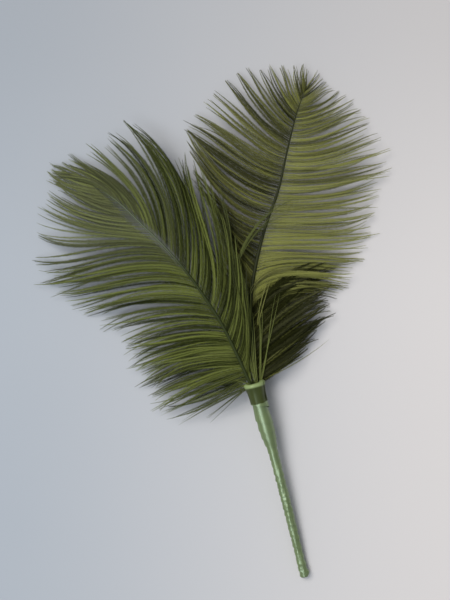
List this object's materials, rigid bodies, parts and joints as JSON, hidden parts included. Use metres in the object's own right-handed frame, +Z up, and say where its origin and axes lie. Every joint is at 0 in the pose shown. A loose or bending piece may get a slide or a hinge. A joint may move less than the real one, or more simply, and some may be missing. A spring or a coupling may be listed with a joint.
{
  "type": "ostrich feather spray",
  "caption": "Dyed ostrich plumes bound side by side on a straight stem wound with satin ribbon, lying flat with the left plume over the right.",
  "frame": {"origin": "middle of the spray's footprint, on the surface that it lies on", "axes": "+Z up, +Y along the stem from its cut end towards the plumes, +X to the right plume's side"},
  "size_m": [0.199, 0.2608, 0.0232],
  "materials": {
    "left_plumage": "matte dyed barbs, dark moss green",
    "right_plumage": "matte dyed barbs, olive green",
    "wire": "plain drawn wire, hidden",
    "binding_tape": "matte waxed tape, hidden",
    "ribbon_satin": "satin, soft sheen along the weave"
  },
  "bodies": {
    "root": {"left_plume": "left_plumage", "right_plume": "right_plumage", "stem_wire": "wire", "quill_binding": "binding_tape", "ribbon_wrap": "ribbon_satin", "ribbon_collar": "ribbon_satin"}
  },
  "joints": []
}
